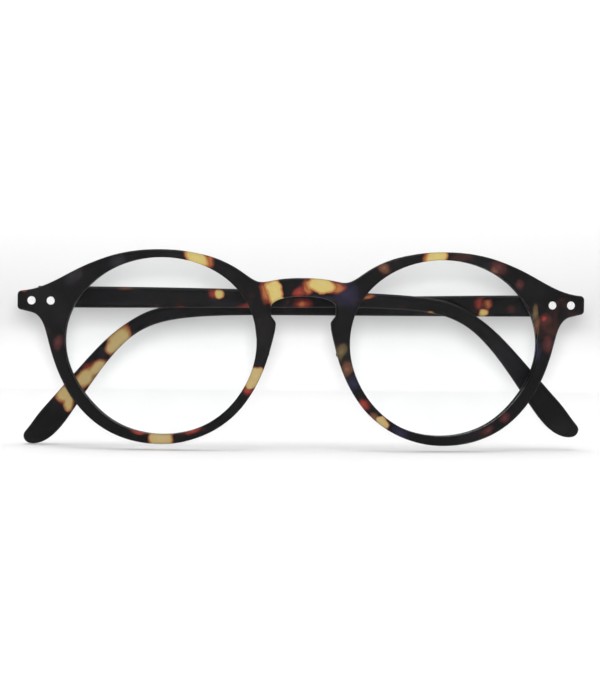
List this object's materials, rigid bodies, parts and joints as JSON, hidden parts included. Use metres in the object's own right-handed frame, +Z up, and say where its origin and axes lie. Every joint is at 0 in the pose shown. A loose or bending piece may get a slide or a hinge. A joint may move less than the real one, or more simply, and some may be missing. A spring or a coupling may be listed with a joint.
{
  "type": "folding reading glasses",
  "caption": "Round tortoiseshell reading glasses with a keyhole bridge, clear lenses in grooves and two riveted hinges, stored folded.",
  "frame": {"origin": "middle of the underside of the keyhole bridge, where the glasses sit on the nose", "axes": "+X to the wearer's left, +Y back towards the wearer's head, +Z up; the front of the glasses faces -Y"},
  "size_m": [0.14, 0.0204, 0.049],
  "materials": {
    "tortoise_front": "soft matt dark tortoiseshell with yellow, amber and red patches",
    "tortoise_temple": "soft matt dark tortoiseshell with yellow, amber and red patches",
    "lens": "clear, coated",
    "hinge_metal": "plain nickel silver",
    "rivet_metal": "bright silver dots, ground flush",
    "screw_metal": "bright plated"
  },
  "bodies": {
    "front": {"front_frame": "tortoise_front", "lens_right": "lens", "lens_left": "lens", "front_leaf_right": "hinge_metal", "front_leaf_left": "hinge_metal", "front_rivets_right": "rivet_metal", "front_rivets_left": "rivet_metal", "screw_right": "screw_metal", "screw_left": "screw_metal"},
    "temple_right": {"temple_right": "tortoise_temple", "temple_leaf_right": "hinge_metal", "temple_rivets_right": "rivet_metal"},
    "temple_left": {"temple_left": "tortoise_temple", "temple_leaf_left": "hinge_metal", "temple_rivets_left": "rivet_metal"}
  },
  "joints": [
    {"name": "right_temple_hinge", "type": "hinge", "parent": "front", "child": "temple_right", "pos_m": [-0.0641, 0.00917, -0.0017], "axis": [0, 0, 1], "range_deg": [0, 94.6]},
    {"name": "left_temple_hinge", "type": "hinge", "parent": "front", "child": "temple_left", "pos_m": [0.0641, 0.00917, -0.0017], "axis": [0, 0, -1], "range_deg": [0, 91.4]}
  ]
}
